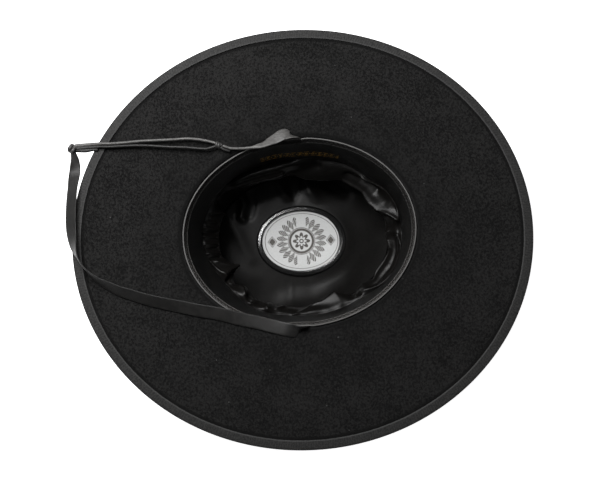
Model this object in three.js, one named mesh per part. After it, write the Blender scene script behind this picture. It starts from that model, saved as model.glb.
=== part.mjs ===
import * as THREE from 'three';

// A wide-brimmed gaucho hat lying upside down on the flat top of its crown. Millimetres, +Z up.
// The origin is the centre of the crown's flat outer top. +X points to the front of the hat,
// and the rear seam of the sweatband lies at -X. Places round the hat are given as a turn in
// degrees from +X, and an offset, measured square to the head opening's oval.

// Head opening, crown and felt
const openingLength = 202;
const openingWidth = 164;
const crownHeight = 104;
const crownTaper = 9;
const crownCorner = 11;
const feltThick = 2;
const breakRadius = 3.5;
const openingSkew = 3.4;

// Brim
const brimAtEnds = 98;
const brimAtSides = 100.5;
const brimDish = 8;
const dishPower = 1.5;
const brimWave = 1.5;
const brimShiftX = 1.9;
const brimShiftY = -3.8;

// Clearance between pieces that touch
const seat = 0.3;

// Ribbon folded over the brim's edge
const bindingWidth = 8.5;
const bindingThick = 0.9;

// Leather sweatband with a rolled top edge
const sweatbandHeight = 41;
const sweatbandThick = 1.2;
const rollRadius = 1;
const leanPower = 1.3;

// Satin lining and what lies on its tip
const liningThick = 1;
const liningDrop = 32;
const tipInset = 18;
const labelLength = 74.5;
const labelWidth = 56.4;
const labelThick = 0.4;
const protectorThick = 0.5;
const protectorMargin = 5.2;
const protectorRimHeight = 3.2;
const protectorRimRound = 1.5;

// Leather chin strap
const strapWidth = 11.5;
const strapThick = 1.3;
const strandWidth = 2.3;
const strandHeight = 2.8;

// Room that the sweatband leaves beside a strap where one comes out, and the turn in degrees
// that it leaves it for, flat and then fading, to each side of the strap
const slotSpare = 1.2;
const slotHalfTurn = 10;
const slotFade = 8;

// Knots: place is the share of the way between the two rows that each is tied round
const outerKnot = { place: 0.15, length: 5.4, wall: 1.8, wraps: 2 };
const innerKnot = { place: 0.95, length: 8.6, wall: 1.3, wraps: 3 };
const wrapGroove = 0.45;
const wrapRound = 0.3;

// Steps round the hat, the same for pieces that lie against each other
const roundSteps = 60;
const liningSteps = 72;
const labelSteps = 40;
const knotSteps = 14;

// Where the felt's brim and wall and the hanging sweatband are divided, as shares
const brimRungs = [0.33, 0.66];
const wallRungs = [0.38, 0.72];
const bandRungs = [0.35, 0.7, 1];

const brimLift = crownHeight - breakRadius;
const liningTop = crownHeight - liningDrop;
const degrees = THREE.MathUtils.degToRad;

// How far the sweatband's lower edge leans inward, as shares of its height
const sweatbandLean = [
  { turn: 0, lean: 0.24 },
  { turn: 45, lean: 0.27 },
  { turn: 90, lean: 0.32 },
  { turn: 135, lean: 0.25 },
  { turn: 180, lean: 0.32 },
  { turn: 215, lean: 0.4 },
  { turn: 260, lean: 0.27 },
  { turn: 310, lean: 0.21 },
];

// How far the gathered lining bags out inside the crown, as shares of half the opening's width
const liningReach = [
  { turn: 0, reach: 0.26 },
  { turn: 22, reach: 0.32 },
  { turn: 50, reach: 0.27 },
  { turn: 78, reach: 0.37 },
  { turn: 100, reach: 0.32 },
  { turn: 122, reach: 0.28 },
  { turn: 143, reach: 0.2 },
  { turn: 160, reach: 0.29 },
  { turn: 182, reach: 0.3 },
  { turn: 208, reach: 0.36 },
  { turn: 238, reach: 0.235 },
  { turn: 266, reach: 0.23 },
  { turn: 290, reach: 0.32 },
  { turn: 306, reach: 0.23 },
  { turn: 335, reach: 0.235 },
];

// The lining's side from its top edge to the tip. height is a share of liningTop, bag the share
// of liningReach and lie the share of tipInset that the side has taken up there
const liningSide = [
  { height: 1, bag: 0, lie: 0.217 },
  { height: 0.86, bag: 0, lie: 0.256 },
  { height: 0.79, bag: 0.5, lie: 0.05 },
  { height: 0.7, bag: 0.97, lie: 0 },
  { height: 0.59, bag: 0.92, lie: 0.02 },
  { height: 0.33, bag: 0.2, lie: 0.8 },
  { height: 0.051, bag: 0, lie: 1.01 },
];

// The lower strap: the turn where it comes out of the hat, its hidden stretch, then its run over
// the brim. drop is a share of the sweatband's height and reach a share of the brim's width,
// under is the clearance below the strap as a share of its thickness, wide and thick are shares
// of its own width and thickness, and roll is its lean in degrees
const lowerStrapExit = 268;
const lowerStrapHidden = [
  { turn: 277, drop: 0.54 },
  { turn: 274, drop: 0.37 },
  { turn: 271, drop: 0.2 },
  { turn: 268.8, drop: 0.06 },
];
const lowerStrapRun = [
  { turn: 267.2, reach: 0, under: 0.45, wide: 1, thick: 1, roll: 66 },
  { turn: 265.6, reach: 0.01, under: 0.55, wide: 1, thick: 1, roll: 40 },
  { turn: 263.6, reach: 0.02, under: 0.4, wide: 1, thick: 1, roll: 16 },
  { turn: 260.8, reach: 0.016, under: 0.3, wide: 1, thick: 1, roll: 4 },
  { turn: 255.4, reach: 0.003, under: 0.3, wide: 1, thick: 1, roll: 0 },
  { turn: 244.2, reach: -0.005, under: 0.3, wide: 1, thick: 1, roll: -5 },
  { turn: 236.2, reach: 0.016, under: 0.3, wide: 1, thick: 1, roll: -10 },
  { turn: 226.2, reach: 0.058, under: 0.3, wide: 1, thick: 1, roll: -18 },
  { turn: 217.6, reach: 0.139, under: 0.3, wide: 1, thick: 1, roll: -22 },
  { turn: 210.1, reach: 0.24, under: 0.3, wide: 1, thick: 1, roll: -26 },
  { turn: 204.1, reach: 0.36, under: 0.3, wide: 1, thick: 1, roll: -34 },
  { turn: 200.2, reach: 0.459, under: 0.3, wide: 1, thick: 1, roll: -38 },
  { turn: 196.7, reach: 0.561, under: 0.3, wide: 1, thick: 1, roll: -42 },
  { turn: 194.7, reach: 0.633, under: 0.3, wide: 1, thick: 1, roll: -46 },
  { turn: 192.5, reach: 0.704, under: 0.3, wide: 1, thick: 1, roll: -52 },
  { turn: 190.4, reach: 0.777, under: 0.4, wide: 1, thick: 1, roll: -62 },
  { turn: 188.4, reach: 0.834, under: 0.7, wide: 1, thick: 1, roll: -72 },
  { turn: 186, reach: 0.892, under: 1.25, wide: 1, thick: 1, roll: -82 },
  { turn: 183.7, reach: 0.934, under: 1.25, wide: 1, thick: 1, roll: -80 },
  { turn: 181.4, reach: 0.963, under: 1.25, wide: 1, thick: 1, roll: -62 },
  { turn: 178.9, reach: 0.981, under: 1.25, wide: 1, thick: 1, roll: -42 },
  { turn: 176, reach: 0.999, under: 1.25, wide: 1, thick: 1, roll: -32 },
  { turn: 172.6, reach: 1.014, under: 1.25, wide: 1, thick: 1, roll: -30 },
  { turn: 168.7, reach: 1.034, under: 1.25, wide: 1, thick: 1, roll: -32 },
  { turn: 165.4, reach: 1.053, under: 1.25, wide: 1, thick: 1, roll: -32 },
  { turn: 162.5, reach: 1.078, under: 1.25, wide: 0.87, thick: 1.1, roll: -30 },
  { turn: 160.6, reach: 1.101, under: 1.4, wide: 0.7, thick: 1.4, roll: -20 },
  { turn: 159.4, reach: 1.128, under: 1.55, wide: 0.4, thick: 1.8, roll: -5 },
  { turn: 158.6, reach: 1.155, under: 1.7, wide: 0.25, thick: 2.1, roll: 0 },
  { turn: 158, reach: 1.175, under: 1.85, wide: 0.25, thick: 2.1, roll: 0 },
  { turn: 157.3, reach: 1.192, under: 1.85, wide: 0.25, thick: 2.1, roll: 0 },
  { turn: 156.7, reach: 1.197, under: 1.85, wide: 0.25, thick: 2.1, roll: 0 },
  { turn: 156.4, reach: 1.17, under: 1.85, wide: 0.25, thick: 2.1, roll: 0 },
  { turn: 156.6, reach: 1.125, under: 1.85, wide: 0.27, thick: 2.1, roll: 0 },
  { turn: 156.3, reach: 1.086, under: 1.85, wide: 0.27, thick: 2.1, roll: 0 },
  { turn: 155.8, reach: 1.052, under: 1.85, wide: 0.25, thick: 2.1, roll: 0 },
  { turn: 155.2, reach: 1.02, under: 1.85, wide: 0.22, thick: 2.1, roll: 0 },
];
const lowerStrandRun = [
  { turn: 154.6, reach: 0.982, under: 2 },
  { turn: 152.6, reach: 0.877, under: 2.15 },
  { turn: 149.9, reach: 0.761, under: 2.3 },
  { turn: 146.9, reach: 0.648, under: 2.3 },
  { turn: 143.8, reach: 0.534, under: 2.3 },
  { turn: 140.3, reach: 0.422, under: 2.3 },
  { turn: 136.1, reach: 0.319, under: 2.3 },
  { turn: 132.5, reach: 0.238, under: 2.3 },
  { turn: 129.5, reach: 0.181, under: 2.3 },
  { turn: 127.4, reach: 0.15, under: 2.3 },
];

// The upper strap, in the same columns
const upperStrapExit = 86;
const upperStrapHidden = [
  { turn: 77, drop: 0.54 },
  { turn: 80, drop: 0.37 },
  { turn: 83, drop: 0.2 },
  { turn: 85.4, drop: 0.06 },
];
const upperStrapRun = [
  { turn: 87.2, reach: 0, under: 0.45, wide: 1, thick: 1, roll: -66 },
  { turn: 89, reach: 0.01, under: 0.55, wide: 1, thick: 1, roll: -38 },
  { turn: 91, reach: 0.02, under: 0.4, wide: 1, thick: 1, roll: -14 },
  { turn: 93.6, reach: 0.025, under: 0.3, wide: 1, thick: 1, roll: -5 },
  { turn: 97.1, reach: 0.004, under: 0.3, wide: 0.87, thick: 1, roll: -15 },
  { turn: 100.3, reach: -0.012, under: 0.3, wide: 0.7, thick: 1.15, roll: -35 },
  { turn: 103.1, reach: -0.026, under: 0.45, wide: 0.52, thick: 1.5, roll: -50 },
  { turn: 106.2, reach: -0.025, under: 0.6, wide: 0.4, thick: 1.8, roll: -45 },
  { turn: 109.3, reach: -0.016, under: 0.75, wide: 0.26, thick: 2.1, roll: -20 },
];
const upperStrandRun = [
  { turn: 112.7, reach: 0.001, under: 0.9 },
  { turn: 116.4, reach: 0.029, under: 1.25 },
  { turn: 119.8, reach: 0.068, under: 1.7 },
  { turn: 121.7, reach: 0.105, under: 2.15 },
  { turn: 123.6, reach: 0.143, under: 2.3 },
  { turn: 125.3, reach: 0.183, under: 2.3 },
  { turn: 127.2, reach: 0.235, under: 2.3 },
  { turn: 130, reach: 0.296, under: 2.3 },
  { turn: 133.3, reach: 0.365, under: 2.3 },
  { turn: 137.9, reach: 0.455, under: 2.3 },
  { turn: 142.4, reach: 0.567, under: 2.3 },
  { turn: 145.9, reach: 0.672, under: 2.3 },
  { turn: 149.1, reach: 0.777, under: 2.3 },
  { turn: 151.9, reach: 0.891, under: 2.15 },
  { turn: 153.9, reach: 0.996, under: 2 },
  { turn: 154.8, reach: 1.072, under: 1.85 },
  { turn: 155.4, reach: 1.136, under: 1.85 },
];

// Short cut ends that stand out of the knots, in the same columns
const innerKnotEnd = [
  { turn: 124.6, reach: 0.091, under: 1.7 },
  { turn: 122.8, reach: 0.064, under: 1.55 },
  { turn: 120.5, reach: 0.035, under: 1.25 },
];
const outerKnotEnd = [
  { turn: 157.7, reach: 1.122, under: 1.55 },
  { turn: 157.2, reach: 1.075, under: 1.55 },
  { turn: 156.4, reach: 1.012, under: 1.4 },
];

// Width of the brim at a turn, from the opening to its bound edge
function brimWidth(turn) {
  return brimAtEnds + (brimAtSides - brimAtEnds) * Math.sin(turn) ** 2;
}

// Share of the brim's width that an offset has crossed
function brimShare(turn, offset) {
  return Math.max(offset, 0) / brimWidth(turn);
}

// A point of an oval outline, and the unit vector square to it there
function ovalPoint(length, width, turn) {
  return new THREE.Vector3((length / 2) * Math.cos(turn), (width / 2) * Math.sin(turn), 0);
}
function ovalNormal(length, width, turn) {
  return new THREE.Vector3(width * Math.cos(turn), length * Math.sin(turn), 0).normalize();
}

// Turns a vector of the opening's oval, which is skewed a little against the brim's outline
function skewed(vector, share) {
  return vector.applyAxisAngle(new THREE.Vector3(0, 0, 1), degrees(openingSkew) * (1 - Math.min(share, 1)));
}

// Unit vector square to the opening's oval
function outward(turn, offset) {
  return skewed(ovalNormal(openingLength, openingWidth, turn), brimShare(turn, offset));
}

// A point at a turn and offset. The brim's outline has its centre a little off the opening's
function hatPoint(turn, offset, height) {
  const share = brimShare(turn, offset);
  const point = skewed(ovalPoint(openingLength, openingWidth, turn), share);
  point.addScaledVector(outward(turn, offset), offset);
  return point.add(new THREE.Vector3(brimShiftX * share, brimShiftY * share, height));
}

// Height of the brim's upward face
function brimTop(turn, offset) {
  const share = brimShare(turn, offset);
  return crownHeight - brimDish * share ** dishPower + brimWave * Math.cos(2 * turn) * share ** 2;
}

// Offset of the crown's inner wall at a height
function wallOffset(height) {
  const share = (brimLift - height) / (brimLift - crownCorner);
  return -crownTaper * THREE.MathUtils.clamp(share, 0, 1);
}

// Value of a column at a turn, eased between the rows of a table that closes on itself
function roundTable(rows, column, turn) {
  const full = 2 * Math.PI;
  const here = ((turn % full) + full) % full;
  let below = rows[rows.length - 1];
  for (const row of rows) {
    if (degrees(row.turn) <= here) below = row;
  }
  const above = rows[(rows.indexOf(below) + 1) % rows.length];
  const start = degrees(below.turn);
  const span = (degrees(above.turn) - start + full) % full;
  const ease = (1 - Math.cos((Math.PI * ((here - start + full) % full)) / span)) / 2;
  return below[column] + (above[column] - below[column]) * ease;
}

// Closed body from rows of points. Each row is a loop of the same number of points, and the
// rows either close on themselves or are capped at both ends
function skin(rows, closed) {
  const count = rows[0].length;
  const points = rows.flat();
  const faces = [];
  const last = closed ? rows.length : rows.length - 1;
  for (let row = 0; row < last; row += 1) {
    const next = (row + 1) % rows.length;
    for (let place = 0; place < count; place += 1) {
      const beside = (place + 1) % count;
      const a = row * count + place;
      const b = row * count + beside;
      const c = next * count + beside;
      const d = next * count + place;
      faces.push([a, b, c], [a, c, d]);
    }
  }
  if (!closed) {
    const cap = (row, flip) => {
      const middle = new THREE.Vector3();
      for (const point of rows[row]) middle.addScaledVector(point, 1 / count);
      points.push(middle);
      for (let place = 0; place < count; place += 1) {
        const a = row * count + place;
        const b = row * count + ((place + 1) % count);
        faces.push(flip ? [points.length - 1, b, a] : [points.length - 1, a, b]);
      }
    };
    cap(0, true);
    cap(rows.length - 1, false);
  }
  return outwardFacing(points, faces);
}

// Geometry whose faces point out of the body, whichever way its rows ran
function outwardFacing(points, faces) {
  let volume = 0;
  for (const [a, b, c] of faces) volume += points[a].dot(points[b].clone().cross(points[c]));
  const turned = volume < 0 ? faces.map(([a, b, c]) => [a, c, b]) : faces;
  const geometry = new THREE.BufferGeometry();
  geometry.setAttribute('position', new THREE.Float32BufferAttribute(points.flatMap((p) => p.toArray()), 3));
  geometry.setIndex(turned.flat());
  geometry.computeVertexNormals();
  return geometry;
}

// Body whose profile, a list of [offset, height] worked out for each turn, runs round the hat
function roundBody(profileAt, steps, closedProfile) {
  const turns = Array.from({ length: steps }, (_, step) => (2 * Math.PI * step) / steps);
  const profiles = turns.map((turn) => profileAt(turn));
  const rows = profiles[0].map((_, place) => (
    turns.map((turn, step) => hatPoint(turn, profiles[step][place][0], profiles[step][place][1]))
  ));
  return skin(rows, closedProfile);
}

// Points on an arc of a profile, from one angle to another in degrees
function arc(centreOffset, centreHeight, radius, from, to, pieces) {
  return Array.from({ length: pieces + 1 }, (_, piece) => {
    const angle = degrees(from + ((to - from) * piece) / pieces);
    return [centreOffset + radius * Math.cos(angle), centreHeight + radius * Math.sin(angle)];
  });
}

// Crown and brim in one piece of felt, open upward
function feltProfile(turn) {
  const cornerCentre = feltThick - crownTaper - crownCorner;
  const edge = brimWidth(turn) - bindingThick - seat;
  const lip = brimWidth(turn) - bindingWidth;
  const edgeRound = feltThick * 0.3;
  const rungs = brimRungs.map((share) => share * lip);
  const wallHeights = wallRungs.map((share) => crownCorner + share * (brimLift - crownCorner));
  const top = (offset) => [offset, brimTop(turn, offset)];
  const under = (offset) => [offset, brimTop(turn, offset) - feltThick];
  return [
    ...arc(cornerCentre, crownCorner, crownCorner, -90, 0, 4),
    ...wallHeights.map((height) => [wallOffset(height) + feltThick, height]),
    ...arc(breakRadius, brimLift, breakRadius - feltThick, 180, 90, 2),
    ...rungs.map(under),
    under(lip),
    under(edge - edgeRound),
    [edge, brimTop(turn, edge) - feltThick + edgeRound],
    [edge, brimTop(turn, edge) - edgeRound],
    top(edge - edgeRound),
    top(lip),
    ...rungs.map(top).reverse(),
    ...arc(breakRadius, brimLift, breakRadius, 90, 180, 3),
    ...wallHeights.map((height) => [wallOffset(height), height]).reverse(),
    ...arc(cornerCentre, crownCorner, crownCorner - feltThick, 0, -90, 4),
  ];
}

// Ribbon folded round the brim's edge
function bindingProfile(turn) {
  const outer = brimWidth(turn);
  const lip = outer - bindingWidth;
  const pocket = outer - bindingThick;
  const over = seat + bindingThick;
  const shoulder = bindingThick * 0.25;
  const point = (offset, rise) => [offset, brimTop(turn, Math.min(offset, pocket)) + rise];
  return [
    point(lip, seat),
    point(lip, over),
    point(outer - over, over),
    point(outer - shoulder, over * 0.4),
    point(outer, -feltThick / 2),
    point(outer - shoulder, -feltThick - over * 0.4),
    point(outer - over, -feltThick - over),
    point(lip, -feltThick - over),
    point(lip, -feltThick - seat),
    point(pocket, -feltThick - seat),
    point(pocket, seat),
  ];
}

// How far the sweatband stands off the felt to let the straps out, from 0 to 1
function strapRoom(turn) {
  const rooms = [lowerStrapExit, upperStrapExit].map((exit) => {
    const past = THREE.MathUtils.euclideanModulo(THREE.MathUtils.radToDeg(turn) - exit + 180, 360);
    return 1 - THREE.MathUtils.smoothstep(Math.abs(past - 180), slotHalfTurn, slotHalfTurn + slotFade);
  });
  return Math.max(...rooms);
}

// Sweatband: a roll along the opening's edge and a band that hangs from it and leans inward
function sweatbandProfile(turn) {
  const rollOffset = -seat - rollRadius - strapRoom(turn) * (strapThick + slotSpare);
  const rollHeight = crownHeight - rollRadius - seat / 2;
  const lean = sweatbandHeight * roundTable(sweatbandLean, 'lean', turn);
  const band = (share, side) => [
    rollOffset - (lean + rollOffset) * share ** leanPower + (side * sweatbandThick) / 2,
    rollHeight - rollRadius - share * sweatbandHeight,
  ];
  return [
    ...arc(rollOffset, rollHeight, rollRadius, -55, 235, 5),
    ...bandRungs.map((share) => band(share, -1)),
    ...bandRungs.map((share) => band(share, 1)).reverse(),
  ];
}

// Gathered side of the lining, from behind the sweatband to the tip
function liningProfile(turn) {
  const reach = (openingWidth / 2) * roundTable(liningReach, 'reach', turn);
  const face = (row, inset) => [-row.bag * reach - row.lie * tipInset - inset, row.height * liningTop];
  return [
    ...liningSide.map((row) => face(row, 0)),
    ...liningSide.map((row) => face(row, liningThick)).reverse(),
  ];
}

// Flat oval tip of the lining
function tipProfile() {
  const lower = feltThick + seat;
  return [
    [-tipInset, lower],
    [-tipInset, lower + liningThick],
  ];
}

// Body of an oval outline, its profile a list of [offset, height], capped at both ends
function ovalBody(length, width, profile) {
  const rows = profile.map(([offset, height]) => (
    Array.from({ length: labelSteps }, (_, step) => {
      const turn = (2 * Math.PI * step) / labelSteps;
      const point = ovalPoint(length, width, turn).addScaledVector(ovalNormal(length, width, turn), offset);
      return point.setZ(height);
    })
  ));
  return skin(rows, false);
}

// Clear cover over the label: a sheet with a raised rim that stands on the tip round it
function protectorProfile(foot) {
  const sheetUnder = foot + labelThick + seat;
  const round = protectorRimRound;
  return [
    [seat, sheetUnder],
    [seat, foot],
    [protectorMargin, foot],
    ...arc(protectorMargin - round, foot + protectorRimHeight - round, round, 0, 150, 4),
    [seat + protectorThick, sheetUnder + protectorThick],
  ];
}

// Ring of a strap: an eight-sided section round a centre, across two directions
function strapRing(centre, across, upward, width, thick) {
  const cut = 0.3 * Math.min(width, thick);
  const x = width / 2;
  const y = thick / 2;
  const corners = [
    [x, y - cut], [x - cut, y], [cut - x, y], [-x, y - cut],
    [-x, cut - y], [cut - x, -y], [x - cut, -y], [x, cut - y],
  ];
  return corners.map(([a, b]) => centre.clone().addScaledVector(across, a).addScaledVector(upward, b));
}

// Full sizes of a strap's row, in millimetres and radians
function strapStation(row) {
  const turn = degrees(row.turn);
  const hidden = row.drop !== undefined;
  const strand = row.wide === undefined && !hidden;
  const width = strand ? strandWidth : strapWidth * (row.wide ?? 1);
  const thick = strand ? strandHeight : strapThick * (row.thick ?? 1);
  const roll = degrees(row.roll ?? 0);
  const height = crownHeight - sweatbandHeight * (row.drop ?? 0);
  const behind = wallOffset(height) - (slotSpare * 0.6 + thick / 2);
  const offset = hidden ? behind : row.reach * brimWidth(turn);
  const lift = row.under * strapThick + (Math.abs(Math.sin(roll)) * width + Math.cos(roll) * thick) / 2;
  const centre = hatPoint(turn, offset, hidden ? height : brimTop(turn, offset) + lift);
  return { turn, offset, width, thick, roll, centre };
}

// A strap through its rows. Each section lies square to the run, rolled from the flat
function strapBody(rows) {
  const stations = rows.map(strapStation);
  const rings = stations.map((station, place) => {
    const before = stations[Math.max(place - 1, 0)].centre;
    const after = stations[Math.min(place + 1, stations.length - 1)].centre;
    const along = after.clone().sub(before).normalize();
    const side = outward(station.turn, station.offset);
    side.addScaledVector(along, -side.dot(along)).normalize();
    const up = along.clone().cross(side);
    const across = side.multiplyScalar(Math.cos(station.roll)).addScaledVector(up, Math.sin(station.roll));
    const upward = along.clone().cross(across);
    return strapRing(station.centre, across, upward, station.width, station.thick);
  });
  return skin(rings, false);
}

// Hidden rows of a strap stand on edge against the crown's wall
function standing(rows, roll) {
  return rows.map((row) => ({ ...row, roll }));
}

// The two rows of a run that a knot is tied round, the first of them at a turn
function knotRows(run, turn) {
  const first = run.findIndex((row) => row.turn === turn);
  return run.slice(first, first + 2);
}

// Wraps of leather tied round a strand, which runs through them
function knotBody(rows, knot) {
  const [from, to] = rows.map(strapStation);
  const centre = from.centre.clone().lerp(to.centre, knot.place);
  const axis = to.centre.clone().sub(from.centre).normalize();
  const side = new THREE.Vector3(0, 0, 1).cross(axis).normalize();
  const up = axis.clone().cross(side);
  const hole = Math.hypot(from.width, from.thick) / 2 + seat;
  const groove = hole + knot.wall * wrapGroove;
  const outer = hole + knot.wall;
  const half = knot.length / 2;
  const step = knot.length / knot.wraps;
  const profile = [[hole, -half], [hole, half]];
  for (let wrap = 0; wrap < knot.wraps; wrap += 1) {
    const start = half - wrap * step;
    profile.push([groove, start]);
    profile.push([outer, start - step * wrapRound]);
    profile.push([outer, start - step * (1 - wrapRound)]);
  }
  profile.push([groove, -half]);
  const rings = profile.map(([radius, along]) => (
    Array.from({ length: knotSteps }, (_, place) => {
      const angle = (2 * Math.PI * place) / knotSteps;
      const point = centre.clone().addScaledVector(axis, along);
      point.addScaledVector(side, radius * Math.cos(angle));
      return point.addScaledVector(up, radius * Math.sin(angle));
    })
  ));
  return skin(rings, true);
}

// Adds a named piece with its own material to the hat
const hat = new THREE.Group();
function piece(name, geometry, color, roughness, metalness = 0) {
  const mesh = new THREE.Mesh(geometry, new THREE.MeshStandardMaterial({ color, roughness, metalness }));
  mesh.name = name;
  hat.add(mesh);
  return mesh;
}

piece('felt_body', roundBody(feltProfile, roundSteps, false), '#1f1f20', 0.95);
piece('brim_binding', roundBody(bindingProfile, roundSteps, true), '#3a3939', 0.8);
piece('sweatband', roundBody(sweatbandProfile, roundSteps, true), '#1b1a1a', 0.45);
piece('lining_side', roundBody(liningProfile, liningSteps, true), '#161616', 0.3);
piece('lining_tip', roundBody(tipProfile, liningSteps, false), '#161616', 0.3);

const labelUnder = feltThick + seat + liningThick + seat;
const labelFaces = [[0, labelUnder], [0, labelUnder + labelThick]];
piece('tip_label', ovalBody(labelLength, labelWidth, labelFaces), '#c9cbcd', 0.35, 0.3);
const coverFaces = protectorProfile(labelUnder);
const cover = piece('tip_protector', ovalBody(labelLength, labelWidth, coverFaces), '#e8eef0', 0.08);
cover.material.transparent = true;
cover.material.opacity = 0.35;

const lowerStrap = [...standing(lowerStrapHidden, 90), ...lowerStrapRun, ...lowerStrandRun];
const upperStrap = [...standing(upperStrapHidden, -90), ...upperStrapRun, ...upperStrandRun];
piece('lower_chin_strap', strapBody(lowerStrap), '#262524', 0.5);
piece('upper_chin_strap', strapBody(upperStrap), '#262524', 0.5);

// The outer knot sits on the lower strap's turn, the inner one on the upper strap's strand
piece('outer_sliding_knot', knotBody(knotRows(lowerStrapRun, 158), outerKnot), '#2b2a29', 0.45);
piece('inner_sliding_knot', knotBody(knotRows(upperStrandRun, 121.7), innerKnot), '#2b2a29', 0.45);
piece('outer_knot_end', strapBody(outerKnotEnd), '#2b2a29', 0.45);
piece('inner_knot_end', strapBody(innerKnotEnd), '#2b2a29', 0.45);

export default hat;
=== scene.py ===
import math

import bmesh
import bpy
import numpy as np
from mathutils import Matrix, Vector, noise


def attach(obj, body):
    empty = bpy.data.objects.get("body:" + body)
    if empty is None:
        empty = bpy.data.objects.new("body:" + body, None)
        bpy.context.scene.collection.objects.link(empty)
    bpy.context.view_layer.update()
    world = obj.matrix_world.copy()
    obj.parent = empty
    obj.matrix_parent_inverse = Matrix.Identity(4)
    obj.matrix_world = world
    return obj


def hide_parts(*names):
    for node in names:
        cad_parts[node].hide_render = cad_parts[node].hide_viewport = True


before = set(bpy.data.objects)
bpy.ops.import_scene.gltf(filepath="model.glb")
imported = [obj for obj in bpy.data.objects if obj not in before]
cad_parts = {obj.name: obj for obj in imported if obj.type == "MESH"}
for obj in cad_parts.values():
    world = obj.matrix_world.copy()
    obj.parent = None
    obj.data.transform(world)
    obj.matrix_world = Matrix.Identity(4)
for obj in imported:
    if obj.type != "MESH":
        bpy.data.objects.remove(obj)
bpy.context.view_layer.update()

MM = 0.001
MERGE = 0.00002

# Head opening, crown and felt
OPENING_LENGTH = 202
OPENING_WIDTH = 164
OPENING_SKEW = 3.4
CROWN_HEIGHT = 104
CROWN_TAPER = 9
CROWN_CORNER = 11
FELT_THICK = 2
BREAK_RADIUS = 3.5

# Brim
BRIM_AT_ENDS = 98
BRIM_AT_SIDES = 100.5
BRIM_DISH = 8
BRIM_WAVE = 1.5
BRIM_SHIFT = (1.9, -3.8)
BRIM_RIPPLE = 0.35
EDGE_TUCK = 1.2
BINDING_WIDTH = 8.5
BINDING_RISE = 1.0
BINDING_THICK = 0.6
RIBBON_RIBS = 540

# Sweatband
ROLL_RADIUS = 0.85
BAND_HEIGHT = 41
BAND_THICK = 1.2
SEAT = 0.3
ROLL_PIECES = 12
BAND_SHARES = [0.02, 0.04, 0.06, 0.08, 0.1, 0.2, 0.32, 0.44, 0.56, 0.68, 0.8, 0.9, 0.97]
BAND_ROWS = ROLL_PIECES + 2 * len(BAND_SHARES) + 2
TAPE_SHARE = 0.09
TAPE_LEAN = 2.3
TAPE_WEAVE = 700
THREAD_ROWS = (0.02, 0.076)
THREAD_MIDDLE = 0.048
THREAD_RADIUS = 0.2
STITCHES = 320
ZIGZAGS = 160
SLOT_ROOM = 0.8
SLOT_HALF_TURN = 2.5
SLOT_FADE = 5
LOWER_SLOT = 266
UPPER_SLOT = 88.5

# Lining, label and its clear cover
TIP_INSET = 18
TIP_LEVEL = 3.3
TIP_SWELL = 2.4
TIP_SWELL_TURN = 8
TIP_LOWEST = 2.55
LINING_TOP = 72
LINING_HEM = 58.5
LINING_DROP = 9.5
LINING_THICK = 0.5
LINING_RADIUS = 74
FOLD_REACH = 17
PEAK_TURN = 284
PEAK_HALF = 17
PEAK_RISE = 4.5
LABEL_LENGTH = 74.5
LABEL_WIDTH = 56.4
LABEL_LEVEL = 4
LABEL_THICK = 0.3
LABEL_CLEAR = 7
COVER_MARGIN = 5.2
COVER_RIM = 6.6
COVER_TOP = 4.8
COVER_THICK = 0.4
COVER_CRIMPS = 150

# Steps round the hat
THREAD_STEPS = 1920
FINE = 480
COARSE = 240

# How far the sweatband's lower edge stands in from the opening, by turn
BAND_EDGE = [
    (0, 10.6), (15, 9.5), (30, 9.9), (45, 13), (60, 11), (75, 12.3), (90, 13), (105, 12),
    (120, 10.5), (135, 10.4), (150, 11.1), (165, 11.8), (180, 13.2), (195, 16.2), (210, 17.5),
    (225, 14.6), (240, 10.3), (255, 11), (270, 10.6), (285, 10.2), (300, 11), (315, 7.9),
    (330, 7.4), (345, 9.4),
]

# How far the lining's edge bags in from the opening, by turn
BAG_EDGE = [
    (11, 21), (19, 26), (28, 25), (39, 23), (49, 23), (56, 23), (66, 28), (73, 30), (83, 30),
    (92, 26), (100, 26), (112, 24), (120, 22.5), (130, 18), (138, 13), (144, 14), (151, 23.5),
    (160, 24), (175, 25), (190, 25), (199, 28), (207, 30), (213, 24), (219, 21), (225, 24.5),
    (233, 20), (242, 19), (252, 20), (266, 19), (280, 22), (290, 27), (297, 19), (302, 18),
    (308, 20.5), (316, 17.5), (323, 19.5), (331, 19), (341, 19), (350, 21), (357, 23),
]

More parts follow.
